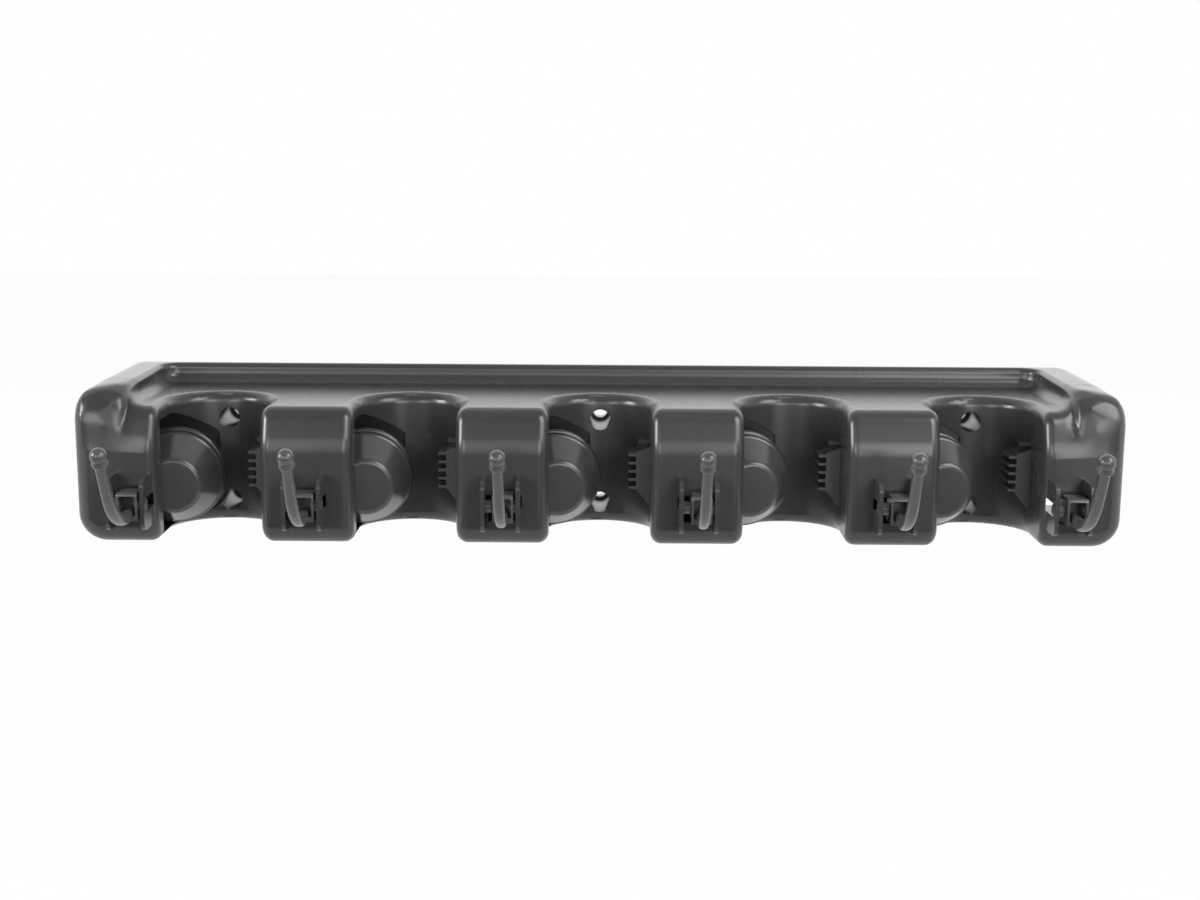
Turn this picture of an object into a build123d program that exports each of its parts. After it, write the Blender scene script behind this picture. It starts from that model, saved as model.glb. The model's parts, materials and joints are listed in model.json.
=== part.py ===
from build123d import *
import os

# Wall holder for broom and mop handles: a slotted bar with gravity rollers, grip pads and folding hooks.
# Millimetres. X runs along the bar, +Y points into the wall and +Z is up. The wall is the plane y = 0, and
# the origin is the centre of the screw holes on it. Heights are given above the bottom edge of the bar and
# depths behind the front faces of its posts; up() and back() turn them into coordinates.

os.makedirs("parts", exist_ok=True)

# Bar
bar_length = 403.2
bar_height = 61
bar_depth = 72
screw_centre_height = 25.5
wall = 2.2
floor = 2.0
rib = 2.0
front_edge_radius = 8
hollow_front_radius = 7.5
hollow_end_radius = 6.5
bottom_corner_radius = 11

# Raised ends, and the tray between them: a ledge with a rim at the wall and sloped post tops in front
end_crease_height = 50
end_crease_radius = 13
end_setback = 6
end_corner_radius = 11
tray_half = 181.5
tray_flare_radius = 7
tray_corner_radius = 7
tray_edge_radius = 5
brink_radius = 2.4
end_brink_radius = 5
brink_lift = 0.03
ledge_height = 53
ledge_setback = 5
ledge_edge_radius = 7
post_crease_height = 39
post_crease_radius = 19
rim = 2.8

# Slots for the handles
slot_pitch = 75
slot_count = 5
slot_half = 19.7
slot_depth = 43
slot_edge_radius = 4.3

# Screw tubes in the backs of every second slot
screw_spacing = 34
screw_radius = 3.0
head_radius = 4.2
head_depth = 67
tube_radius = 6.9

# Rollers: the stub axle of each leans forward out of an inclined guide slot
guide_depth = 44
guide_wall = 2.4
guide_left = 52.6
end_web = 14.5
axle_x = -21
axle_height = 22.2
axle_forward = Vector(0.143, -1, -0.041).normalized()
axle_radius = 4
bore_clearance = 0.05
guide_slack = 0.35
travel = 13.5
travel_x = -0.8 * travel
travel_z = 0.6 * travel
flange_radius = 19.4
flange_back = 13.4
flange_front = 16
cap_radius = 18.2
cap_back = 17
cap_front = 34.9
room_front = 9
room_step = 34
room_right = -4

# Hooks, and the ears on the post fronts that carry them; hubs and arms stand right of the ears' middle
hook_places = [-178.8, -112.5, -37.5, 37.5, 112.5, 178.8]
hook_shift = 1.0
ear_offset = 6.65
ear_thickness = 1.6
ear_reach = 12.3
ear_bottom = 8
ear_top = 28
ear_corner_radius = 3.5
pivot_reach = 8.5
pivot_height = 17.9
pivot_slot_half = 2.5
pivot_clearance = 0.08
pivot_window_half = 7.7
face_window_half = 5.2
face_window_bottom = 10.1
face_window_height = 7.8
hub_half = 3.9
pocket_half = 3.1
pocket_height = 17.8
pocket_rise = 7.4
pocket_back = 5
trunnion_half = 7.45
arm_height = 14
arm_bend_reach = 29.8
arm_bend_radius = 24
tip_reach = 45
tip_height = 43.2
tip_radius = 3.0
collar_radius = 3.1
arm_width = 4.0
arm_depth = 4.6

# Grip pads on the right walls of the slots
pad_front = 22
pad_back = 36
pad_face = 14.3
tooth_tip = 11.3
tooth_count = 5
tooth_thickness = 1.1
tooth_pitch = 3.28
top_tooth = 32.1
peg_radius = 2
peg_clearance = 0.05
peg_depth = 25
peg_heights = [17, 31]
lip_bottom = 36.6
lip_top = 38.2


def up(height):
    return height - screw_centre_height


def back(depth):
    return depth - bar_depth


slots = [slot_pitch * (i - (slot_count - 1) / 2) for i in range(slot_count)]
screw_slots = slots[::2]
screw_heights = [up(screw_centre_height - screw_spacing / 2), up(screw_centre_height + screw_spacing / 2)]
half_length = bar_length / 2
ceiling = ledge_height - wall


def outline_edges(faces):
    """Edges round a group of faces, without the edges two of them share."""
    edges = [edge for face in faces for edge in face.edges()]
    return ShapeList(e for e in edges if sum(e.is_same(other) for other in edges) == 1)


def slot_plan(half, depth):
    """Plan of one slot: straight walls from the front and a half round at the back."""
    with BuildSketch() as plan:
        with BuildLine():
            sides = Polyline(
                (half, back(depth - half)),
                (half, back(-5)),
                (-half, back(-5)),
                (-half, back(depth - half)),
            )
            ThreePointArc(sides @ 1, (0, back(depth)), sides @ 0)
        make_face()
    return plan.sketch


slot_space = slot_plan(slot_half, slot_depth)
slot_shell = slot_plan(slot_half + wall, slot_depth + wall)
slot_spots = [(x, 0) for x in slots]

# Solid block of the bar with sloped, rounded ends
with BuildPart() as block:
    with BuildSketch(Plane.XZ):
        with BuildLine():
            FilletPolyline(
                (-half_length, up(0)),
                (half_length, up(0)),
                (half_length, up(bar_height)),
                (-half_length, up(bar_height)),
                radius=[bottom_corner_radius, bottom_corner_radius, end_corner_radius, end_corner_radius],
                close=True,
            )
        make_face()
    extrude(amount=bar_depth)
    with BuildSketch(Plane.YZ):
        with BuildLine():
            FilletPolyline(
                (back(2 * end_setback), up(2 * bar_height - end_crease_height)),
                (back(0), up(end_crease_height)),
                (back(0), up(end_crease_height / 2)),
                (back(-5), up(end_crease_height / 2)),
                (back(-5), up(2 * bar_height - end_crease_height)),
                radius=[0, end_crease_radius, 0, 0, 0],
                close=True,
            )
        make_face()
    extrude(amount=half_length, both=True, mode=Mode.SUBTRACT)
    fronts = block.faces().filter_by(lambda f: f.normal_at().Y < -0.5)
    fillet(outline_edges(fronts), front_edge_radius)

# Space taken out above the ledge and the sloped post tops
with BuildPart() as tray:
    with BuildSketch(Plane.YZ):
        with BuildLine():
            FilletPolyline(
                (-rim, up(bar_height + 5)),
                (-rim, up(ledge_height)),
                (back(ledge_setback), up(ledge_height)),
                (back(0), up(post_crease_height)),
                (back(0), up(post_crease_height - 8)),
                (back(-8), up(post_crease_height - 8)),
                (back(-8), up(bar_height + 5)),
                radius=[0, 0, ledge_edge_radius, post_crease_radius, 0, 0, 0],
                close=True,
            )
        make_face()
    extrude(amount=half_length, both=True)
    with BuildSketch(Plane.XY.offset(up(post_crease_height - 8))):
        with BuildLine():
            FilletPolyline(
                (0, 0),
                (tray_half, 0),
                (tray_half, back(1)),
                (half_length + 6, back(-5)),
                (half_length + 6, back(-8)),
                (0, back(-8)),
                radius=[0, 0, tray_flare_radius, 0, 0, 0],
                close=True,
            )
        make_face()
        mirror(about=Plane.YZ)
    extrude(amount=bar_height, mode=Mode.INTERSECT)
    fillet(tray.edges().filter_by(Axis.Z).group_by(Axis.Y)[-1], tray_corner_radius)
    bed = tray.faces().filter_by(lambda f: f.normal_at().Z < -0.05 and f.center().Y > back(-1))
    bed_edges = outline_edges(bed).filter_by(lambda e: e.center().Y > back(1) or abs(e.center().X) > 1)
    fillet(bed_edges, tray_edge_radius)

# Rounding of the upper edge of the tray, lifted a little so that it crosses the top face at an angle
with BuildPart() as brink:
    with BuildLine(Plane.XY.offset(up(bar_height) + brink_lift)) as brink_line:
        FilletPolyline(
            (-tray_half, back(-1)),
            (-tray_half, -rim),
            (tray_half, -rim),
            (tray_half, back(-1)),
            radius=tray_corner_radius,
        )
    with BuildSketch(Plane(brink_line.line @ 0, x_dir=(-1, 0, 0), z_dir=(0, 1, 0))):
        with BuildLine():
            corner = Polyline(
                (0, -brink_radius),
                (-0.5, -brink_radius),
                (-0.5, 0.5),
                (brink_radius, 0.5),
                (brink_radius, 0),
            )
            ThreePointArc(corner @ 1, (0.293 * brink_radius, -0.293 * brink_radius), corner @ 0)
        make_face()
    sweep(path=brink_line.line)

# Rounding of the inner edge of a raised end, down the slope of its front
with BuildPart() as end_brink:
    slope = Vector(0, end_setback, bar_height - end_crease_height).normalized()
    inwards = Vector(1, 0, 0).cross(slope)
    foot = Vector(tray_half, back(0), up(end_crease_height)) - 8 * slope
    with BuildSketch(Plane(foot - brink_lift * inwards, x_dir=(1, 0, 0), z_dir=slope)):
        with BuildLine():
            corner = Polyline(
                (0, end_brink_radius),
                (-0.5, end_brink_radius),
                (-0.5, -5),
                (end_brink_radius, -5),
                (end_brink_radius, 0),
            )
            ThreePointArc(corner @ 1, (0.293 * end_brink_radius, 0.293 * end_brink_radius), corner @ 0)
        make_face()
    extrude(amount=30)
    mirror(about=Plane.YZ)

# Hollow of the moulding, open to the wall
with BuildPart() as hollow:
    with BuildSketch(Plane.YZ):
        with BuildLine():
            FilletPolyline(
                (1, up(floor)),
                (back(wall), up(floor)),
                (back(wall), up(post_crease_height - 1)),
                (back(wall + ledge_setback), up(ceiling)),
                (1, up(ceiling)),
                radius=[0, hollow_front_radius, 0, ledge_edge_radius - wall, 0],
                close=True,
            )
        make_face()
    extrude(amount=half_length - wall, both=True)
    fillet(hollow.edges().filter_by(Axis.Y).group_by(Axis.Z)[0], hollow_end_radius)
    with BuildSketch(Plane.XZ.offset(-1)):
        with BuildLine():
            FilletPolyline(
                (half_length - wall, up(ceiling - 4)),
                (half_length - wall, up(bar_height - wall)),
                (tray_half + wall, up(bar_height - wall)),
                (tray_half + wall, up(ceiling - 4)),
                radius=[0, end_corner_radius - wall, 1, 0],
                close=True,
            )
        make_face()
        mirror(about=Plane.YZ)
    extrude(amount=bar_depth - end_setback - 3)
    with BuildSketch(Plane.XY.offset(up(0))):
        with Locations(*slot_spots):
            add(slot_shell)
    extrude(amount=bar_height, mode=Mode.SUBTRACT)

# Room for a roller beside its slot, over the whole travel, with only its left part cut on to the guide wall
with BuildPart() as roller_room:
    with BuildSketch(Plane.XZ.offset(-back(guide_depth))):
        for x, height, radius in [(-18.7, 21.7, 19.9), (-29.8, 29.8, 19.9), (-17.6, 22.2, 19.9)]:
            with Locations((x, up(height))):
                Circle(radius)
        make_hull()
    extrude(amount=guide_depth - room_front)
    with BuildSketch(Plane.XZ.offset(-back(guide_depth + 1))):
        with Locations((room_right, 0)):
            Rectangle(40, 2 * bar_height, align=(Align.MIN, Align.CENTER))
    extrude(amount=guide_depth + 1 - room_step, mode=Mode.SUBTRACT)

# Guide walls for the roller axles, each with a rib at its free edge, a web behind every slot, and a web in
# the right end in line with the guide walls, all kept inside the outline of the bar
with BuildPart() as ribs:
    with BuildSketch(Plane.XY.offset(up(floor / 2))):
        with Locations(*slot_spots):
            with Locations((-guide_left, back(guide_depth))):
                Rectangle(guide_left + 1, guide_wall, align=Align.MIN)
                Rectangle(rib, bar_depth - guide_depth - 2, align=Align.MIN)
            with Locations((-rib / 2, back(slot_depth + wall / 2))):
                Rectangle(rib, bar_depth - slot_depth - wall / 2 - 2, align=Align.MIN)
        with Locations((half_length - end_web, back(guide_depth))):
            Rectangle(end_web, guide_wall, align=Align.MIN)
    extrude(amount=ledge_height - floor / 2 - wall / 2)
    add(block.part, mode=Mode.INTERSECT)

# Ear for a hook trunnion, standing on a post front at x = 0
with BuildPart() as ear:
    with BuildSketch(Plane.YZ):
        with BuildLine():
            FilletPolyline(
                (back(1), up(ear_bottom)),
                (back(-ear_reach), up(ear_bottom)),
                (back(-ear_reach), up(ear_top)),
                (back(1), up(ear_top)),
                radius=[0, ear_corner_radius, ear_corner_radius, 0],
                close=True,
            )
        make_face()
    extrude(amount=ear_thickness / 2, both=True)

# Opening for a pair of trunnions, from behind the post front to the pivot
with BuildPart() as pivot_slot:
    with BuildSketch(Plane.YZ):
        with Locations((back(-pivot_reach), up(pivot_height))):
            Circle(pivot_slot_half)
            Rectangle(pivot_reach + 2 * wall, 2 * pivot_slot_half, align=(Align.MIN, Align.CENTER))
    extrude(amount=pivot_window_half, both=True)

# Housing
with BuildPart() as housing:
    add(block.part)
    add(tray.part, mode=Mode.SUBTRACT)
    add(brink.part, mode=Mode.SUBTRACT)
    add(end_brink.part, mode=Mode.SUBTRACT)
    with BuildSketch(Plane.XY.offset(up(-1))):
        with Locations(*slot_spots):
            add(slot_space)
    extrude(amount=bar_height + 2, mode=Mode.SUBTRACT)
    for x in slots:
        walls = housing.faces().filter_by(
            lambda f: abs(f.center().X - x) < slot_half + 0.1
            and abs(f.normal_at().Z) < 0.01
            and back(1) < f.center().Y < back(slot_depth + 0.1)
        )
        fillet(outline_edges(walls), slot_edge_radius)
    add(hollow.part, mode=Mode.SUBTRACT)

    # Guide walls for the roller axles, ribs and screw tubes
    add(ribs.part)
    screw_spots = [(x, z) for x in screw_slots for z in screw_heights]
    with BuildSketch(Plane.XZ):
        with Locations(*screw_spots):
            Circle(tube_radius)
    extrude(amount=bar_depth - slot_depth - wall / 2)
    with Locations(*[(x, 0, 0) for x in slots]):
        add(roller_room.part, mode=Mode.SUBTRACT)
    with BuildSketch(Plane.XZ.offset(-back(guide_depth + guide_wall + 1))):
        with Locations(*slot_spots):
            with Locations((axle_x + travel_x / 2, up(axle_height) + travel_z / 2)):
                SlotCenterToCenter(travel + 0.6, 2 * (axle_radius + guide_slack), rotation=-36.87)
    extrude(amount=guide_wall + 2, mode=Mode.SUBTRACT)
    with BuildSketch(Plane.XZ.offset(-back(head_depth))):
        with Locations(*screw_spots):
            Circle(head_radius)
    extrude(amount=head_depth - slot_depth / 2, mode=Mode.SUBTRACT)
    with BuildSketch(Plane.XZ.offset(-1)):
        with Locations(*screw_spots):
            Circle(screw_radius)
    extrude(amount=slot_depth / 2, mode=Mode.SUBTRACT)

    # Lips over the grip pads, and the holes for their pegs
    with BuildSketch(Plane.XY.offset(up(lip_bottom))):
        with Locations(*slot_spots):
            with Locations((pad_face + 0.7, back(pad_front))):
                Rectangle(6.5, 8, align=Align.MIN)
    extrude(amount=lip_top - lip_bottom)
    peg_spots = [(back(peg_depth), up(height)) for height in peg_heights]
    for x in slots:
        with BuildSketch(Plane.YZ.offset(x + slot_half - 3)):
            with Locations(*peg_spots):
                Circle(peg_radius)
        extrude(amount=6, mode=Mode.SUBTRACT)

    # Ears for the hooks, and the windows between them
    with Locations(*[(x + side * ear_offset, 0, 0) for x in hook_places for side in (-1, 1)]):
        add(ear.part)
    with Locations(*[(x, 0, 0) for x in hook_places]):
        add(pivot_slot.part, mode=Mode.SUBTRACT)
    with BuildSketch(Plane.XZ.offset(-back(2 * wall))):
        with Locations(*[(x, up(face_window_bottom)) for x in hook_places]):
            Rectangle(2 * face_window_half, face_window_height, align=(Align.CENTER, Align.MIN))
    extrude(amount=2 * wall, mode=Mode.SUBTRACT)

housing.part.label = "housing"
export_step(housing.part, "parts/housing.step")


def revolved(name, points, radii, x):
    """Turned piece of the roller at slot x: (radius, distance forward of the guide wall) round its axle."""
    centre = Vector(x + axle_x, back(guide_depth + guide_wall / 2), up(axle_height))
    across = Vector(1, 0, 0).cross(axle_forward).normalized()
    plane = Plane(centre, x_dir=across, z_dir=across.cross(axle_forward))
    with BuildPart() as piece:
        with BuildSketch(plane):
            with BuildLine():
                FilletPolyline(*points, radius=radii, close=True)
            make_face()
        revolve(axis=Axis(centre, axle_forward))
    piece.part.label = name
    export_step(piece.part, f"parts/{name}.step")


bore = axle_radius + bore_clearance
for number, x in enumerate(slots, start=1):
    # Rubber cap that presses on the handle
    revolved(
        f"roller_cap_{number}",
        [
            (9.5, cap_back), (cap_radius, cap_back), (cap_radius, 20.9), (17.6, 21.3), (10.7, cap_front),
            (0, cap_front), (0, 33.1), (7.5, 33.1), (7.5, 30.7), (9.5, 30.7),
        ],
        [0, 1, 0.3, 0.3, 2.7, 0, 0, 0, 0, 0],
        x,
    )
    # Hub with the flange at its back
    revolved(
        f"roller_hub_{number}",
        [
            (bore, 8.8), (8.5, 8.8), (8.5, flange_back), (flange_radius, flange_back),
            (flange_radius, flange_front), (15.5, flange_front), (15.5, cap_back), (9.5, cap_back),
            (9.5, 30.5), (bore, 30.5),
        ],
        [0, 0, 0, 0.8, 0.8, 0, 0, 0, 0, 0],
        x,
    )
    # Stub axle with a shoulder before the guide wall and a head in the cap
    revolved(
        f"roller_axle_{number}",
        [
            (0, -5), (axle_radius, -5), (axle_radius, 2.7), (6.4, 2.7), (6.4, 8.6), (axle_radius, 8.6),
            (axle_radius, 30.8), (6.2, 30.8), (6.2, 32.7), (0, 32.7),
        ],
        [0] * 10,
        x,
    )
    # Cap that keeps the axle in the guide slot
    revolved(
        f"roller_retainer_{number}",
        [(axle_radius, -2.8), (7.2, -2.8), (7.2, -5.2), (5.8, -6.4), (0, -6.4), (0, -5), (axle_radius, -5)],
        [0] * 7,
        x,
    )

    # Ribbed grip pad, lying on the slot wall
    with BuildPart() as pad:
        with BuildSketch(Plane.XZ.offset(-back(pad_back))):
            with BuildLine():
                Polyline(
                    (x + pad_face, up(33.2)),
                    (x + 24, up(37.2)),
                    (x + 24, up(6.3)),
                    (x + pad_face + 0.3, up(18)),
                    (x + pad_face, up(18)),
                    close=True,
                )
            make_face()
            for tooth in range(tooth_count):
                with Locations((x + tooth_tip, up(top_tooth - tooth_pitch * tooth))):
                    Rectangle(4, tooth_thickness, align=(Align.MIN, Align.CENTER))
        extrude(amount=pad_back - pad_front)
        with BuildSketch(Plane.XY.offset(up(0))):
            with Locations((x, 0)):
                add(slot_space)
        extrude(amount=bar_height, mode=Mode.INTERSECT)
        with BuildSketch(Plane.YZ.offset(x + slot_half - 3)):
            with Locations(*peg_spots):
                Circle(peg_radius - peg_clearance)
        extrude(amount=5)
    pad.part.label = f"grip_pad_{number}"
    export_step(pad.part, f"parts/grip_pad_{number}.step")

for number, x in enumerate(hook_places, start=1):
    # Hook: a cored hub with a heel that rests on the post, trunnions, and a bent arm with a ball
    with BuildPart() as hook:
        with BuildSketch(Plane.YZ.offset(x + hook_shift)):
            with BuildLine():
                FilletPolyline(
                    (back(-0.3), up(12.2)),
                    (back(-13), up(12.2)),
                    (back(-13), up(22.8)),
                    (back(-2.2), up(22.8)),
                    (back(-2.2), up(15.5)),
                    (back(-0.3), up(15.5)),
                    radius=[0, 0, 1, 1.5, 0, 0],
                    close=True,
                )
            make_face()
        extrude(amount=hub_half, both=True)
        with BuildSketch(Plane.YZ.offset(x)):
            with Locations((back(-pivot_reach), up(pivot_height))):
                Circle(pivot_slot_half - pivot_clearance)
        extrude(amount=trunnion_half, both=True)
        with BuildSketch(Plane.XZ.offset(-back(-pocket_back))):
            with Locations((x + hook_shift, up(pocket_height))):
                RectangleRounded(2 * pocket_half, pocket_rise, 0.8)
        extrude(amount=10, mode=Mode.SUBTRACT)
        with BuildLine(Plane.YZ.offset(x + hook_shift)) as arm_line:
            FilletPolyline(
                (back(-11), up(arm_height)),
                (back(-arm_bend_reach), up(arm_height)),
                (back(-tip_reach), up(tip_height)),
                radius=arm_bend_radius,
            )
        with BuildSketch(Plane(arm_line.line @ 0, x_dir=(1, 0, 0), z_dir=(0, -1, 0))):
            RectangleRounded(arm_width, arm_depth, 1.6)
        sweep(path=arm_line.line)
        tip = arm_line.line @ 1
        along = arm_line.line % 1
        with BuildSketch(Plane(tip, x_dir=(1, 0, 0), z_dir=Vector(1, 0, 0).cross(along))):
            with BuildLine():
                collar = Polyline(
                    (2.4, -1.8),
                    (collar_radius, -3.2),
                    (collar_radius, -3.7),
                    (2.0, -5.4),
                    (0, -5.4),
                )
                RadiusArc(collar @ 0, (0, tip_radius), -tip_radius)
                Line((0, tip_radius), collar @ 1)
            make_face()
        revolve(axis=Axis(tip, along))
    hook.part.label = f"hook_{number}"
    export_step(hook.part, f"parts/hook_{number}.step")
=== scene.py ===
import json
import math

import bmesh
import bpy
import numpy as np
from bpy.props import FloatProperty, FloatVectorProperty, IntProperty, PointerProperty
from mathutils import Matrix, Vector


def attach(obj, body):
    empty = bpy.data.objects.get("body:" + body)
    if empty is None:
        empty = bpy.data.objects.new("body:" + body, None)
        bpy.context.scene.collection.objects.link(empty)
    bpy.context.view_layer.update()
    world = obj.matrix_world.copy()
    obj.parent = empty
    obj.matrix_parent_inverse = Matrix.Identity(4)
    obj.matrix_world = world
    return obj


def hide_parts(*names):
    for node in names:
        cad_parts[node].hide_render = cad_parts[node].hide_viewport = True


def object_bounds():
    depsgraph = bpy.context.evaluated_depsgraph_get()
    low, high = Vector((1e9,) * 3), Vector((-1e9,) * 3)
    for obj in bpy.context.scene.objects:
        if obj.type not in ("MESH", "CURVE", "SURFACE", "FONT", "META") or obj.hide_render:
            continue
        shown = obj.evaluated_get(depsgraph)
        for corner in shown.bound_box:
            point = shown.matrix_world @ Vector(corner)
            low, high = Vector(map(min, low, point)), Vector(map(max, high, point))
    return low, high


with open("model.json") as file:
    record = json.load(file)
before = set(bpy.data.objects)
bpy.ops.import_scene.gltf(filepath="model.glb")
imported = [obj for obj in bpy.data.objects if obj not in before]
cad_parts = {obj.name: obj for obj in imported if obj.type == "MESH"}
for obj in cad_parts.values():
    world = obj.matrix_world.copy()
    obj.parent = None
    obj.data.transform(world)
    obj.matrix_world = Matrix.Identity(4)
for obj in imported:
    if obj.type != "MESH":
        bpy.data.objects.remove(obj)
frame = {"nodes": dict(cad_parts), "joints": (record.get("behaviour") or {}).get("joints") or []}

bl_info = {
    "name": "Wall tool holder",
    "version": (1, 0, 0),
    "blender": (4, 5, 0),
    "location": "View3D > Sidebar > Tool holder",
    "description": "Dresses the slotted wall bar with its rollers, grip pads and folding hooks",
    "category": "Object",
}

CAD_BOX = [list(corner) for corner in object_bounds()]
JOINTS = {joint["name"]: joint for joint in frame["joints"]}
ROLLERS = range(1, 6)
HOOKS = range(1, 7)
MM = 0.001

# Bar, in mm. A raised end flows into the tray inside a box, given by its low and its high corner: across from
# the middle of the bar, back from the post fronts and up from the screw centre. The flow cuts the faces there
# into small steps, and it fades out at the sides of the box.
BAR_DEPTH = 72
END_LOW = (173, -6, 10.5)
END_HIGH = (198, 26, 40.5)
FLOW_STEP = 1
FLOW_FADE = 4

# Roller, in mm: radii, and distances forward of the guide wall along the axle
AXLE_RADIUS = 4
AXLE_BACK = -5
SHOULDER_RADIUS = 6.4
SHOULDER_BACK = 2.7
SHOULDER_FRONT = 8.6
HEAD_RADIUS = 6.2
HEAD_BACK = 30.8
HEAD_FRONT = 32.7
RETAINER_RADIUS = 7.2
RETAINER_FACE_RADIUS = 5.8
RETAINER_FRONT = -2.8
RETAINER_RIM = -5.2
RETAINER_BACK = -6.4
BORE_RADIUS = AXLE_RADIUS + 0.05
NECK_RADIUS = 8.5
NECK_BACK = 8.8
FLANGE_RADIUS = 19.4
FLANGE_BACK = 13.4
FLANGE_FRONT = 16
SEAT_RADIUS = 15.5
SLEEVE_RADIUS = 9.5
SLEEVE_FRONT = 30.5
CAP_RADIUS = 18.2
CAP_BACK = 17
BEAD_FRONT = 20.9
BODY_RADIUS = 17.6
BODY_BACK = 21.3
FACE_RADIUS = 10.7
CAP_FRONT = 34.9
HOLLOW_RADIUS = 7.5
HOLLOW_BACK = 30.7
HOLLOW_FRONT = 33.1

# Hook, in mm: places in front of the post and above the foot of the bar, the pivot's also across
PIVOT = (0, 8.5, 17.9)
TRUNNION_RADIUS = 2.42
TRUNNION_HALF = 7.45
TRUNNION_ROOT = 0.5
ARM_BACK = 9.6
ARM_CORNER = 1.6
BEND = np.array([29.8, 14.0])
BEND_RADIUS = 24
TIP = np.array([45.0, 43.2])
BALL_SWEEP = math.radians(127)
SMALL_STEPS = 48

# Meshes: distances in metres within which points are one, up to which angle faces are one flat face, and from
# which angle an edge is rounded
WELD = 1e-7
CAD_WELD = 2e-7
FLAT_ANGLE = math.radians(0.3)
EDGE_ANGLE = math.radians(38)

# Materials: how far colour and roughness drift, the depth of the grain, and what sets pads and hubs apart
TINT_DRIFT = 0.1
TINT_SPAN = (0.3, 0.7)
GLOSS_DRIFT = 0.03
GLOSS_WAVE = 2.3
GRAIN_DEPTH = 0.06 * MM
PLASTIC_IOR = 1.5
PAD_DULLER = 0.08
HUB_GLOSSIER = 0.1
PAD_EDGE_SHARE = 0.5

# Stage: how far the floor reaches, in metres, its paint, and the share of white where it is seen
FLOOR_REACH = 3.0
FLOOR_GREY = 0.95
FLOOR_SHINE = 0.1
FLOOR_WHITE = 0.96
PAINT_ROUGHNESS = 0.9


class ToolHolderFinish(bpy.types.PropertyGroup):
    """Colours and gloss of the moulded pieces."""

    bar_colour: FloatVectorProperty(
        name="Bar colour", description="Plastic of the bar", subtype="COLOR", size=3,
        default=(0.034, 0.034, 0.0346))
    hook_colour: FloatVectorProperty(
        name="Hook colour", description="Plastic of the hooks", subtype="COLOR", size=3,
        default=(0.062, 0.062, 0.063))
    roller_colour: FloatVectorProperty(
        name="Roller colour", description="Rubber of the roller caps", subtype="COLOR", size=3,
        default=(0.046, 0.046, 0.0465))
    hub_colour: FloatVectorProperty(
        name="Hub colour", description="Plastic of hubs, axles and retainers", subtype="COLOR", size=3,
        default=(0.028, 0.028, 0.0285))
    pad_colour: FloatVectorProperty(
        name="Pad colour", description="Rubber of the grip pads", subtype="COLOR", size=3,
        default=(0.068, 0.068, 0.0688))
    gloss: FloatProperty(
        name="Plastic roughness", description="Roughness of the moulded plastic", subtype="FACTOR",
        min=0, max=1, default=0.27)
    rubber_gloss: FloatProperty(
        name="Rubber roughness", description="Roughness of the rubber", subtype="FACTOR",
        min=0, max=1, default=0.24)


class ToolHolderSizes(bpy.types.PropertyGroup):
    """Sizes of the small forms, in metres, and counts of steps."""

    edge: FloatProperty(
        name="Edge rounding", description="Rounding of the moulded edges", subtype="DISTANCE", unit="LENGTH",
        default=0.3 * MM)
    flange_edge: FloatProperty(
        name="Flange edge", description="Rounding of the roller flange", subtype="DISTANCE", unit="LENGTH",
        default=1.15 * MM)
    cap_edge: FloatProperty(
        name="Cap edge", description="Rounding of the cap's front edge", subtype="DISTANCE", unit="LENGTH",
        default=2.7 * MM)
    hub_width: FloatProperty(
        name="Hub width", description="Width of a hook's hub", subtype="DISTANCE", unit="LENGTH",
        default=7.8 * MM)
    shift: FloatProperty(
        name="Hook shift", description="Side play of the hooks between their ears", subtype="DISTANCE",
        unit="LENGTH", default=1.0 * MM)
    arm_width: FloatProperty(
        name="Arm width", description="Width of a hook arm", subtype="DISTANCE", unit="LENGTH",
        default=4.0 * MM)
    arm_depth: FloatProperty(
        name="Arm depth", description="Depth of a hook arm", subtype="DISTANCE", unit="LENGTH",
        default=4.6 * MM)
    ball: FloatProperty(
        name="Ball radius", description="Radius of the ball on a hook", subtype="DISTANCE", unit="LENGTH",
        default=3.15 * MM)
    soft_rounds: IntProperty(
        name="Soft rounds", description="Rounds of smoothing where the raised ends meet the tray",
        min=0, max=400, default=170)
    around: IntProperty(
        name="Turned steps", description="Steps round a piece of a roller", min=24, max=256, default=112)


class ToolHolderStage(bpy.types.PropertyGroup):
    """Camera and light of the studio."""

    lens: FloatProperty(name="Lens", description="Focal length in millimetres", default=51.59)
    eye: FloatVectorProperty(
        name="Camera", description="Place of the camera", subtype="TRANSLATION", unit="LENGTH", size=3,
        default=(0.0, -0.7154, 0.1343))
    pitch: FloatProperty(
        name="Pitch", description="Downward tilt", subtype="ANGLE", default=math.radians(10.705))
    roll: FloatProperty(
        name="Roll", description="Turn round the view", subtype="ANGLE", default=math.radians(0.38))
    floor_drop: FloatProperty(
        name="Floor", description="Distance of the floor below the bar", subtype="DISTANCE", unit="LENGTH",
        default=0.16)
    floor_front: FloatProperty(
        name="Floor front", description="Distance of the floor's front edge", subtype="DISTANCE",
        unit="LENGTH", default=0.34)
    room: FloatProperty(name="Room", description="Strength of the white room", min=0, default=0.15)
    front_card: FloatProperty(
        name="Front card", description="Grey of the card low in front", min=0, max=1, default=0.12)
    roof_card: FloatProperty(
        name="Roof card", description="Grey of the card overhead", min=0, max=1, default=0.45)
    key: FloatProperty(
        name="Key lamp", description="Watts of the high lamp on the right", min=0, default=11.5)
    fill: FloatProperty(name="Fill lamp", description="Watts of the lamp on the left", min=0, default=9)
    front: FloatProperty(
        name="Front box", description="Watts of the wide softbox in front", min=0, default=2.6)
    right: FloatProperty(
        name="Right box", description="Watts of the softbox in front on the right", min=0, default=4.2)
    left: FloatProperty(
        name="Left box", description="Watts of the softbox in front on the left", min=0, default=3.0)
    back: FloatProperty(name="Back box", description="Watts of the wide softbox behind", min=0, default=6.5)


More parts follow.
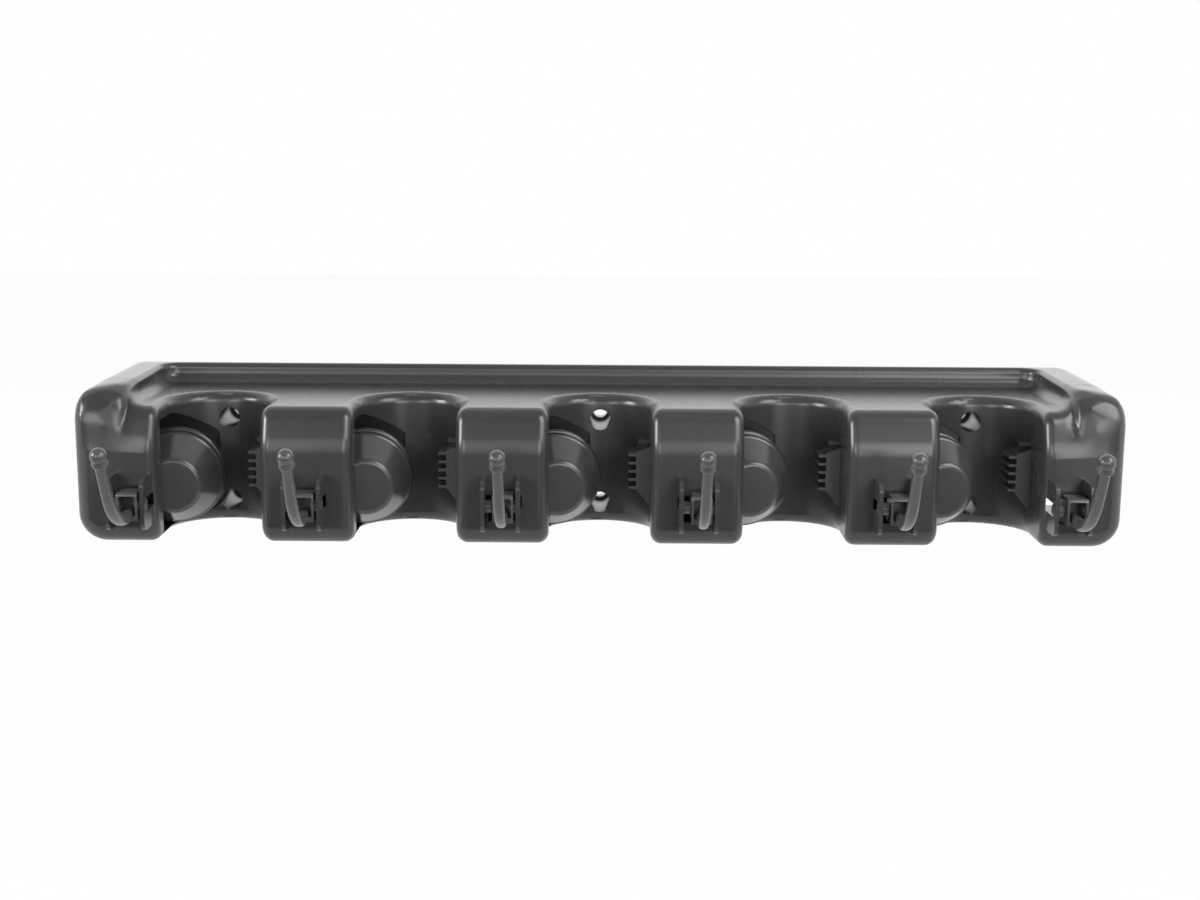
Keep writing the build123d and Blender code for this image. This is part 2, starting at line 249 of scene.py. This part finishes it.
def finish():
    """Colours and gloss that are set in the scene."""
    return bpy.context.scene.tool_holder_finish


def sizes():
    """Sizes that are set in the scene."""
    return bpy.context.scene.tool_holder_sizes


def rounded(points, radii, steps):
    """Profile with round corners: each becomes an arc tangent to both sides, spaced evenly by angle."""
    points = np.asarray(points, float)
    out = []
    for i, (corner, radius) in enumerate(zip(points, radii)):
        if radius <= 0 or i in (0, len(points) - 1):
            out.append(corner[None])
            continue
        before = points[i - 1] - corner
        after = points[i + 1] - corner
        before /= np.linalg.norm(before)
        after /= np.linalg.norm(after)
        half = 0.5 * math.acos(np.clip(before @ after, -1, 1))
        bisector = (before + after) / np.linalg.norm(before + after)
        centre = corner + bisector * radius / math.sin(half)
        start = corner + before * radius / math.tan(half) - centre
        end = corner + after * radius / math.tan(half) - centre
        turn = math.acos(np.clip(start @ end / radius ** 2, -1, 1))
        share = np.linspace(0, 1, steps)[:, None]
        arc = (np.sin((1 - share) * turn) * start + np.sin(share * turn) * end) / math.sin(turn)
        out.append(centre + arc)
    return np.concatenate(out)


def grid_faces(rows, columns, first):
    """Quads of a grid whose columns close into a ring: a point, the next one round and the two above."""
    row, column = np.meshgrid(np.arange(rows - 1), np.arange(columns), indexing="ij")
    following = (column + 1) % columns
    below = row * columns
    above = below + columns
    quads = np.stack([below + column, below + following, above + following, above + column], -1)
    return first + quads.reshape(-1, 4)


def turned(profile, centre, axis, steps):
    """Solid of revolution: centre + s * axis + r * (cos a, sin a) for each (r, s) of a profile and each
    angle a."""
    axis = np.asarray(Vector(axis).normalized())
    side = np.asarray(Vector(axis).orthogonal().normalized())
    up = np.cross(axis, side)
    angle = np.linspace(0, 2 * np.pi, steps, endpoint=False)
    ring = np.cos(angle)[:, None] * side + np.sin(angle)[:, None] * up
    radius, along = np.asarray(profile, float).T
    return np.asarray(centre) + along[:, None, None] * axis + radius[:, None, None] * ring


def rounded_loop(half, low, high, radius, steps=6):
    """Closed loop of a rounded rectangle in (across, height): quarter circles of one radius about the four
    corner centres."""
    angle = np.linspace(0, np.pi / 2, steps) + np.arange(4)[:, None] * np.pi / 2
    across = np.array([half - radius, radius - half, radius - half, half - radius])[:, None]
    height = np.array([high - radius, high - radius, low + radius, low + radius])[:, None]
    return np.stack([across + radius * np.cos(angle), height + radius * np.sin(angle)], -1).reshape(-1, 2)


def stacked(rows):
    """Surface through rounded rectangles: each row (forward, half width, low, high, radius) is one loop."""
    return np.stack([np.insert(rounded_loop(*row[1:]), 1, row[0], axis=1) for row in rows])


def swept(loop, path):
    """Sweep: the loop's first axis stays across, its second is the path's normal in the upright plane."""
    along = np.gradient(path, axis=0)
    along /= np.linalg.norm(along, axis=1)[:, None]
    normal = np.stack([-along[:, 1], along[:, 0]], -1)
    spot = path[:, None] + loop[None, :, 1:] * normal[:, None]
    across = np.broadcast_to(loop[None, :, :1], spot.shape[:2] + (1,))
    return np.concatenate([across, spot], -1)


def finish_piece(name, mesh, material, body, nodes, sharp):
    """Smooth shading up to an angle in degrees, material and body of a finished mesh; hides the CAD nodes it
    stands for.
    """
    mesh.polygons.foreach_set("use_smooth", np.ones(len(mesh.polygons), bool))
    mesh.set_sharp_from_angle(angle=math.radians(sharp))
    mesh.materials.clear()
    mesh.materials.append(material)
    piece = bpy.data.objects.new(name, mesh)
    bpy.context.scene.collection.objects.link(piece)
    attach(piece, body)
    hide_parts(*nodes)
    return piece


def add_piece(name, grids, material, body, nodes, sharp):
    """Joins ring grids into one closed mesh, rides it on its body and hides the CAD nodes it stands for."""
    verts, faces, first = [], [], 0
    for grid in grids:
        rows, columns, _ = grid.shape
        verts.append(grid.reshape(-1, 3))
        faces.append(grid_faces(rows, columns, first))
        first += rows * columns
    mesh = bpy.data.meshes.new(name)
    mesh.from_pydata(np.concatenate(verts).tolist(), [], np.concatenate(faces).tolist())
    shape = bmesh.new()
    shape.from_mesh(mesh)
    bmesh.ops.remove_doubles(shape, verts=shape.verts, dist=WELD)
    bmesh.ops.recalc_face_normals(shape, faces=shape.faces)
    shape.to_mesh(mesh)
    shape.free()
    return finish_piece(name, mesh, material, body, nodes, sharp)


def with_borders(faces):
    """Faces together with their edges and corners, as a cut takes them."""
    edges = dict.fromkeys(edge for face in faces for edge in face.edges)
    corners = dict.fromkeys(corner for face in faces for corner in face.verts)
    return faces + list(edges) + list(corners)


def cut(shape, parts, axis, at):
    """Cuts parts of a mesh by a plane square to one axis, and returns the parts as they are then."""
    along = np.eye(3)[axis]
    return bmesh.ops.bisect_plane(shape, geom=parts, dist=WELD, plane_co=at * along, plane_no=along)["geom"]


def cut_fine(shape, low, high, step):
    """Cuts the faces inside a box into small triangles by planes a step apart along each axis."""

    def reaches_in(face):
        corners = [corner.co for corner in face.verts]
        return all(
            min(corner[i] for corner in corners) < high[i] and max(corner[i] for corner in corners) > low[i]
            for i in range(3))

    def lies_in(face):
        middle = face.calc_center_median()
        return all(low[i] < middle[i] < high[i] for i in range(3))

    for axis in range(3):
        for side in (low[axis], high[axis]):
            near = [face for face in shape.faces if reaches_in(face)]
            cut(shape, with_borders(near), axis, side)
    parts = with_borders([face for face in shape.faces if lies_in(face)])
    for axis in range(3):
        for at in np.arange(low[axis] + step, high[axis], step):
            parts = cut(shape, parts, axis, at)
    bmesh.ops.triangulate(shape, faces=[part for part in parts if isinstance(part, bmesh.types.BMFace)])


def flow_together(mesh, low, high, fade, rounds):
    """Each point moves half way to the mean of its neighbours, round after round, by a share that grows from
    nought at the sides of a box to one over the fade."""
    spots = np.empty(len(mesh.vertices) * 3, np.float32)
    mesh.vertices.foreach_get("co", spots)
    spots = spots.reshape(-1, 3).astype(float)
    pairs = np.empty(len(mesh.edges) * 2, np.int32)
    mesh.edges.foreach_get("vertices", pairs)
    pairs = pairs.reshape(-1, 2)
    share = np.clip(np.minimum(spots - low, high - spots) / fade, 0, 1).prod(1)
    ends = np.concatenate([pairs, pairs[:, ::-1]])
    ends = ends[share[ends[:, 0]] > 0]
    degree = np.maximum(np.bincount(ends[:, 0], minlength=len(spots)), 1)[:, None]
    for _ in range(rounds):
        total = np.stack([np.bincount(ends[:, 0], spots[ends[:, 1], i], len(spots)) for i in range(3)], -1)
        spots += 0.5 * share[:, None] * (total / degree - spots)
    mesh.vertices.foreach_set("co", spots.astype(np.float32).ravel())


def moulded_copy(node, name, material, body, edge, soft=()):
    """A merged copy of a moulding's CAD mesh with flat faces whole, its sharp edges slightly rounded and the
    forms inside each soft box flowing together."""
    mesh = frame["nodes"][node].data.copy()
    mesh.name = name
    shape = bmesh.new()
    shape.from_mesh(mesh)
    bmesh.ops.remove_doubles(shape, verts=shape.verts, dist=CAD_WELD)
    bmesh.ops.dissolve_limit(
        shape, angle_limit=FLAT_ANGLE, verts=shape.verts, edges=shape.edges,
        use_dissolve_boundaries=False)
    for low, high in soft:
        cut_fine(shape, low, high, FLOW_STEP * MM)
    shape.to_mesh(mesh)
    shape.free()
    for low, high in soft:
        flow_together(mesh, low, high, FLOW_FADE * MM, sizes().soft_rounds)
    piece = finish_piece(name, mesh, material, body, [node], sharp=30)
    bevel = piece.modifiers.new("soft_edges", "BEVEL")
    bevel.width = edge
    bevel.segments = 2
    bevel.limit_method = "ANGLE"
    bevel.angle_limit = EDGE_ANGLE
    bevel.use_clamp_overlap = True
    even = piece.modifiers.new("even_shading", "WEIGHTED_NORMAL")
    even.keep_sharp = False
    return piece


def moulded_material(name, colour, roughness, grain, wave, bump):
    """Dark plastic or rubber: colour and roughness drift a little, over a fine moulded grain."""
    material = bpy.data.materials.new(name)
    material.use_nodes = True
    nodes = material.node_tree.nodes
    links = material.node_tree.links
    shader = nodes["Principled BSDF"]
    place = nodes.new("ShaderNodeTexCoord")

    def noise(scale, detail):
        node = nodes.new("ShaderNodeTexNoise")
        node.inputs["Scale"].default_value = scale
        node.inputs["Detail"].default_value = detail
        links.new(place.outputs["Object"], node.inputs["Vector"])
        return node

    tint = nodes.new("ShaderNodeValToRGB")
    for stop, position, drift in zip(tint.color_ramp.elements, TINT_SPAN, (-TINT_DRIFT, TINT_DRIFT)):
        stop.position = position
        stop.color = [(1 + drift) * channel for channel in colour] + [1]
    links.new(noise(wave, 3).outputs["Fac"], tint.inputs["Fac"])
    links.new(tint.outputs["Color"], shader.inputs["Base Color"])

    polish = nodes.new("ShaderNodeMapRange")
    polish.inputs["To Min"].default_value = roughness - GLOSS_DRIFT
    polish.inputs["To Max"].default_value = roughness + GLOSS_DRIFT
    links.new(noise(wave * GLOSS_WAVE, 4).outputs["Fac"], polish.inputs["Value"])
    links.new(polish.outputs["Result"], shader.inputs["Roughness"])
    shader.inputs["IOR"].default_value = PLASTIC_IOR

    skin = nodes.new("ShaderNodeBump")
    skin.inputs["Strength"].default_value = bump
    skin.inputs["Distance"].default_value = GRAIN_DEPTH
    links.new(noise(grain, 2).outputs["Fac"], skin.inputs["Height"])
    links.new(skin.outputs["Normal"], shader.inputs["Normal"])
    return material


class OBJECT_OT_tool_holder_bar(bpy.types.Operator):
    """The moulded bar with its slots, ledge and ears"""

    bl_idname = "object.tool_holder_bar"
    bl_label = "Bar"

    def execute(self, context):
        gloss = moulded_material(
            "bar_gloss", finish().bar_colour, finish().gloss, grain=900, wave=14, bump=0.12)
        post_fronts = (0, CAD_BOX[1][1] - BAR_DEPTH * MM, 0)
        low = np.array(END_LOW) * MM + post_fronts
        high = np.array(END_HIGH) * MM + post_fronts
        left_low = np.array([-high[0], low[1], low[2]])
        left_high = np.array([-low[0], high[1], high[2]])
        moulded_copy(
            "housing", "bar_moulding", gloss, "bar", sizes().edge,
            soft=[(low, high), (left_low, left_high)])
        return {"FINISHED"}


class OBJECT_OT_tool_holder_pads(bpy.types.Operator):
    """The ribbed grip pads on the slot walls"""

    bl_idname = "object.tool_holder_pads"
    bl_label = "Grip pads"

    def execute(self, context):
        rubber = moulded_material(
            "pad_rubber", finish().pad_colour, finish().rubber_gloss + PAD_DULLER,
            grain=2600, wave=30, bump=0.25)
        edge = PAD_EDGE_SHARE * sizes().edge
        for k in ROLLERS:
            moulded_copy(f"grip_pad_{k}", f"pad_form_{k}", rubber, "bar", edge)
        return {"FINISHED"}


def cap_profile():
    """Rubber cap, as (radius, forward) in mm: hollow for the axle's head, bore, bead and tapered body."""
    hollow = [(0, HOLLOW_FRONT), (HOLLOW_RADIUS, HOLLOW_FRONT), (HOLLOW_RADIUS, HOLLOW_BACK)]
    outside = rounded(
        [(SLEEVE_RADIUS, HOLLOW_BACK), (SLEEVE_RADIUS, CAP_BACK), (CAP_RADIUS, CAP_BACK),
         (CAP_RADIUS, BEAD_FRONT), (BODY_RADIUS, BODY_BACK), (FACE_RADIUS, CAP_FRONT), (0, CAP_FRONT)],
        [0, 0.3, 1.7, 0.3, 0.3, sizes().cap_edge / MM, 0], steps=12)
    return np.concatenate([hollow, outside])


def hub_profile():
    """Hub, as (radius, forward) in mm: bore, neck, flange, seat of the cap and the sleeve inside the cap."""
    flange = sizes().flange_edge / MM
    return rounded(
        [(BORE_RADIUS, SLEEVE_FRONT), (BORE_RADIUS, NECK_BACK), (NECK_RADIUS, NECK_BACK),
         (NECK_RADIUS, FLANGE_BACK), (FLANGE_RADIUS, FLANGE_BACK), (FLANGE_RADIUS, FLANGE_FRONT),
         (SEAT_RADIUS, FLANGE_FRONT), (SEAT_RADIUS, CAP_BACK), (SLEEVE_RADIUS, CAP_BACK),
         (SLEEVE_RADIUS, SLEEVE_FRONT), (BORE_RADIUS, SLEEVE_FRONT)],
        [0, 0.3, 0.4, 0.3, flange, flange, 0.3, 0.2, 0.2, 0.4, 0], steps=7)


def axle_profile():
    """Stub axle, as (radius, forward) in mm: shank, shoulder before the guide wall and head in the cap."""
    return rounded(
        [(0, AXLE_BACK), (AXLE_RADIUS, AXLE_BACK), (AXLE_RADIUS, SHOULDER_BACK),
         (SHOULDER_RADIUS, SHOULDER_BACK), (SHOULDER_RADIUS, SHOULDER_FRONT), (AXLE_RADIUS, SHOULDER_FRONT),
         (AXLE_RADIUS, HEAD_BACK), (HEAD_RADIUS, HEAD_BACK), (HEAD_RADIUS, HEAD_FRONT), (0, HEAD_FRONT)],
        [0, 0.4, 0.3, 0.4, 0.4, 0.2, 0.2, 0.4, 0.6, 0], steps=5)


def retainer_profile():
    """Retainer, as (radius, forward) in mm: a cup on the end of the axle behind the guide wall."""
    cup = rounded(
        [(AXLE_RADIUS, AXLE_BACK), (AXLE_RADIUS, RETAINER_FRONT), (RETAINER_RADIUS, RETAINER_FRONT),
         (RETAINER_RADIUS, RETAINER_RIM), (RETAINER_FACE_RADIUS, RETAINER_BACK), (0, RETAINER_BACK)],
        [0, 0.2, 0.5, 0.6, 0.6, 0], steps=5)
    return np.concatenate([[(0, AXLE_BACK)], cup])


class OBJECT_OT_tool_holder_rollers(bpy.types.Operator):
    """The rollers: rubber cap, flanged hub, stub axle and retainer, all turned about the axle"""

    bl_idname = "object.tool_holder_rollers"
    bl_label = "Rollers"

    def execute(self, context):
        rubber = moulded_material(
            "roller_rubber", finish().roller_colour, finish().rubber_gloss, grain=2200, wave=24, bump=0.16)
        satin = moulded_material(
            "roller_satin", finish().hub_colour, finish().gloss - HUB_GLOSSIER,
            grain=1400, wave=20, bump=0.12)
        pieces = (
            ("cap", cap_profile(), rubber, "roller", "roller_cap"),
            ("hub", hub_profile(), satin, "roller", "roller"),
            ("axle", axle_profile(), satin, "axle", "roller"),
            ("retainer", retainer_profile(), satin, "axle", "roller"),
        )
        for k in ROLLERS:
            spin = JOINTS[f"roller_spin_{k}"]
            for label, profile, material, body, slot in pieces:
                grid = turned(profile * MM, spin["pos_m"], spin["axis"], sizes().around)
                nodes = [f"roller_{label}_{k}"]
                add_piece(f"{label}_form_{k}", [grid], material, f"{body}_{k}", nodes, sharp=32)
        return {"FINISHED"}


def hook_hub(half):
    """Hub of a hook: a low heel, a block with rounded upper edges and a pocket in its front, as rounded
    rectangles (forward, half width, low, high, radius) in mm, closed at a point at both ends."""
    heel_back = 0.3
    heel_edge = 0.3
    heel_middle = 13.8
    heel_top = 15.5
    back = 2.2
    back_edge = 1.5
    front = 13
    front_edge = 1
    low = 12.2
    top = 22.8
    corner = 0.4
    turn = np.linspace(0, np.pi / 2, 5)
    heel = [
        (heel_back, 0, heel_middle, heel_middle, 0),
        (heel_back, half - heel_edge, low + heel_edge, heel_top - heel_edge, heel_edge),
        (heel_back + heel_edge, half, low, heel_top, corner),
        (back, half, low, heel_top, corner),
    ]
    block = [
        (back + back_edge * (1 - math.cos(a)), half, low, top - back_edge * (1 - math.sin(a)), corner)
        for a in turn
    ] + [
        (front - front_edge * (1 - math.sin(a)), half, low, top - front_edge * (1 - math.cos(a)), corner)
        for a in turn
    ]
    pocket_wall = 0.8
    pocket_back = 5
    pocket_half = half - pocket_wall
    pocket_low = 14.1
    pocket_high = 21.5
    pocket_middle = (pocket_low + pocket_high) / 2
    pocket_corner = 0.8
    flare = 0.15
    flare_depth = 0.2
    pocket = [
        (front, pocket_half + flare, pocket_low - flare, pocket_high + flare, pocket_corner),
        (front - flare_depth, pocket_half, pocket_low, pocket_high, pocket_corner),
        (pocket_back, pocket_half, pocket_low, pocket_high, pocket_corner),
        (pocket_back, 0, pocket_middle, pocket_middle, 0),
    ]
    return stacked(heel + block + pocket)


def hook_trunnions(hub_half):
    """Two short pins along the pivot, from just inside the hub's sides outwards, in mm."""
    inner = hub_half - TRUNNION_ROOT
    pin = rounded(
        [(0, inner), (TRUNNION_RADIUS, inner), (TRUNNION_RADIUS, TRUNNION_HALF), (0, TRUNNION_HALF)],
        [0, 0, 0.4, 0], steps=5)
    return [turned(pin, PIVOT, (side, 0, 0), SMALL_STEPS) for side in (1, -1)]


def hook_arm(half, deep):
    """Arm of a hook: a rounded bar swept along a level run, a bend and a rising run, closed at both ends. It
    ends inside the collar."""
    path = rounded([(ARM_BACK, BEND[1]), BEND, TIP], [0, BEND_RADIUS, 0], steps=40)
    level = np.linspace(path[0], path[1], 8)[:-1]
    rising = np.linspace(path[-2], path[-1], 16)[1:-3]
    loop = rounded_loop(half, -deep, deep, ARM_CORNER)
    arm = swept(loop, np.concatenate([level, path[1:-1], rising]))
    ends = arm[[0, -1]].mean(1, keepdims=True).repeat(len(loop), 1)
    return np.concatenate([ends[:1], arm, ends[1:]])


def hook_ball(radius):
    """Ball and collar on the tip, turned about the rising run: radius times the sine and cosine of an angle
    from the front, then the collar's own profile."""
    angle = np.linspace(0, BALL_SWEEP, 22)
    ball = np.stack([radius * np.sin(angle), radius * np.cos(angle)], -1)
    collar = rounded(
        [(2.4, -1.8), (3.1, -3.2), (3.1, -3.7), (2.0, -5.4), (0, -5.4)], [0, 0.3, 0.5, 0.5, 0], steps=5)
    return turned(np.concatenate([ball, collar[1:]]), (0, *TIP), (0, *(TIP - BEND)), SMALL_STEPS)


class OBJECT_OT_tool_holder_hooks(bpy.types.Operator):
    """The folding hooks: hub with heel, trunnions, bent arm and ball"""

    bl_idname = "object.tool_holder_hooks"
    bl_label = "Hooks"

    def execute(self, context):
        gloss = moulded_material(
            "hook_gloss", finish().hook_colour, finish().gloss, grain=1200, wave=40, bump=0.12)
        hub_half = sizes().hub_width / MM / 2
        middle = [
            hook_hub(hub_half),
            hook_arm(sizes().arm_width / MM / 2, sizes().arm_depth / MM / 2),
            hook_ball(sizes().ball / MM),
        ]
        shift = (sizes().shift / MM, 0, 0)
        drawing = [grid + shift for grid in middle] + hook_trunnions(hub_half)
        for k in HOOKS:
            pivot = np.asarray(JOINTS[f"hook_fold_{k}"]["pos_m"])
            grids = [pivot + (grid - PIVOT) * (MM, -MM, MM) for grid in drawing]
            add_piece(f"hook_form_{k}", grids, gloss, f"hook_{k}", [f"hook_{k}"], sharp=40)
        return {"FINISHED"}


def white_to_camera(tree, surface, output, share):
    """White of strength one for camera, mirror and glass rays, blended over the lit surface by a share."""
    nodes = tree.nodes
    links = tree.links
    path = nodes.new("ShaderNodeLightPath")
    seen = nodes.new("ShaderNodeMath")
    seen.operation = "MAXIMUM"
    links.new(path.outputs["Is Camera Ray"], seen.inputs[0])
    links.new(path.outputs["Is Glossy Ray"], seen.inputs[1])
    clear = nodes.new("ShaderNodeMath")
    clear.operation = "MAXIMUM"
    links.new(seen.outputs[0], clear.inputs[0])
    links.new(path.outputs["Is Transmission Ray"], clear.inputs[1])
    part = nodes.new("ShaderNodeMath")
    part.operation = "MULTIPLY"
    part.inputs[1].default_value = share
    links.new(clear.outputs[0], part.inputs[0])
    mix = nodes.new("ShaderNodeMixShader")
    links.new(part.outputs[0], mix.inputs[0])
    links.new(surface.outputs[0], mix.inputs[1])
    in_world = output.bl_idname == "ShaderNodeOutputWorld"
    white = nodes.new("ShaderNodeBackground" if in_world else "ShaderNodeEmission")
    white.inputs["Color"].default_value = (1, 1, 1, 1)
    white.inputs["Strength"].default_value = 1
    links.new(white.outputs[0], mix.inputs[2])
    links.new(mix.outputs[0], output.inputs["Surface"])


def dull_paint(name, grey):
    """Even grey paint without polish."""
    paint = bpy.data.materials.new(name)
    paint.use_nodes = True
    shader = paint.node_tree.nodes["Principled BSDF"]
    shader.inputs["Base Color"].default_value = (grey, grey, grey, 1)
    shader.inputs["Roughness"].default_value = PAINT_ROUGHNESS
    return paint


def flat_sheet(name, half, first, second, material):
    """Flat sheet between two level edges, each at its own (distance back, height), as wide on both sides."""
    mesh = bpy.data.meshes.new(name)
    corners = [(-half, *first), (half, *first), (half, *second), (-half, *second)]
    mesh.from_pydata(corners, [], [(0, 1, 2, 3)])
    mesh.materials.append(material)
    sheet = bpy.data.objects.new(name, mesh)
    bpy.context.scene.collection.objects.link(sheet)
    return sheet


def add_room(stage):
    """White room: dim as a light, pure white where it is seen."""
    world = bpy.data.worlds.new("white_room")
    world.use_nodes = True
    bpy.context.scene.world = world
    room = world.node_tree.nodes["Background"]
    room.inputs["Color"].default_value = (1, 1, 1, 1)
    room.inputs["Strength"].default_value = stage.room
    white_to_camera(world.node_tree, room, world.node_tree.nodes["World Output"], 1)


def add_floor(stage):
    """Pale floor below the bar, nearly white where it is seen."""
    pale = dull_paint("pale_floor", FLOOR_GREY)
    paint = pale.node_tree.nodes["Principled BSDF"]
    paint.inputs["Specular IOR Level"].default_value = FLOOR_SHINE
    white_to_camera(pale.node_tree, paint, pale.node_tree.nodes["Material Output"], FLOOR_WHITE)
    low = CAD_BOX[0][2] - stage.floor_drop
    floor = flat_sheet("floor", FLOOR_REACH, (-stage.floor_front, low), (FLOOR_REACH, low), pale)


def add_cards(stage):
    """Grey cards out of the camera's sight, which the glossy plastic mirrors."""
    for name, grey, half, first, second in (
        ("front_card", stage.front_card, 1.6, (-1.0, -1.3), (-1.0, -0.06)),
        ("roof_card", stage.roof_card, 2.0, (-2.2, 0.98), (0.3, 1.3)),
    ):
        card = flat_sheet(name, half, first, second, dull_paint(name, grey))
        card.visible_camera = False


def add_lamps(stage):
    """Soft lamps, each given by its watts, place, width and height, and all turned to the screw centre."""
    for name, watts, place, width, height in (
        ("key_lamp", stage.key, (0.77, -0.58, 0.72), 0.7, 0.7),
        ("fill_lamp", stage.fill, (-1.08, -0.36, 0.36), 0.4, 0.4),
        ("front_box", stage.front, (-0.10, -1.25, 0.19), 1.7, 0.62),
        ("right_box", stage.right, (0.49, -1.2, 0.19), 0.5, 0.62),
        ("left_box", stage.left, (-0.70, -1.2, 0.24), 0.5, 0.48),
        ("back_box", stage.back, (0.0, 1.2, 0.4), 2.4, 1.15),
    ):
        lamp = bpy.data.lights.new(name, "AREA")
        lamp.energy = watts
        lamp.shape = "RECTANGLE"
        lamp.size = width
        lamp.size_y = height
        holder = bpy.data.objects.new(name, lamp)
        holder.location = place
        holder.rotation_euler = Vector(place).to_track_quat("Z", "Y").to_euler()
        bpy.context.scene.collection.objects.link(holder)


def add_camera(stage):
    """Camera of the photograph: in front of the bar, tilted down and turned a little round its view."""
    eye = bpy.data.cameras.new("photo_view")
    eye.sensor_fit = "HORIZONTAL"
    eye.sensor_width = 36
    eye.lens = stage.lens
    eye.clip_start = 0.01
    view = bpy.data.objects.new("photo_view", eye)
    tilt = Matrix.Rotation(math.pi / 2 - stage.pitch, 4, "X")
    view.matrix_world = Matrix.Translation(stage.eye) @ tilt @ Matrix.Rotation(stage.roll, 4, "Z")
    bpy.context.scene.collection.objects.link(view)
    bpy.context.scene.camera = view


class OBJECT_OT_tool_holder_stage(bpy.types.Operator):
    """White room, pale floor, grey cards, soft lamps and the camera"""

    bl_idname = "object.tool_holder_stage"
    bl_label = "Stage"

    def execute(self, context):
        stage = context.scene.tool_holder_stage
        context.scene.view_settings.view_transform = "Standard"
        add_room(stage)
        add_floor(stage)
        add_cards(stage)
        add_lamps(stage)
        add_camera(stage)
        return {"FINISHED"}


class VIEW3D_PT_tool_holder(bpy.types.Panel):
    """Lists the steps that dress the tool holder, and their settings"""

    bl_label = "Tool holder"
    bl_space_type = "VIEW_3D"
    bl_region_type = "UI"
    bl_category = "Tool holder"

    def draw(self, context):
        for step in STEPS:
            self.layout.operator(step.bl_idname)
        for name, group in SETTINGS.items():
            for value in group.__annotations__:
                self.layout.prop(getattr(context.scene, name), value)


SETTINGS = {
    "tool_holder_finish": ToolHolderFinish,
    "tool_holder_sizes": ToolHolderSizes,
    "tool_holder_stage": ToolHolderStage,
}
STEPS = (
    OBJECT_OT_tool_holder_bar,
    OBJECT_OT_tool_holder_pads,
    OBJECT_OT_tool_holder_rollers,
    OBJECT_OT_tool_holder_hooks,
    OBJECT_OT_tool_holder_stage,
)
CLASSES = (*SETTINGS.values(), *STEPS, VIEW3D_PT_tool_holder)


def register():
    for cls in CLASSES:
        bpy.utils.register_class(cls)
    for name, group in SETTINGS.items():
        setattr(bpy.types.Scene, name, PointerProperty(type=group))


def unregister():
    for name in SETTINGS:
        delattr(bpy.types.Scene, name)
    for cls in reversed(CLASSES):
        bpy.utils.unregister_class(cls)


def main():
    register()
    bpy.ops.object.tool_holder_bar()
    bpy.ops.object.tool_holder_pads()
    bpy.ops.object.tool_holder_rollers()
    bpy.ops.object.tool_holder_hooks()
    bpy.ops.object.tool_holder_stage()


if __name__ == "__main__":
    main()
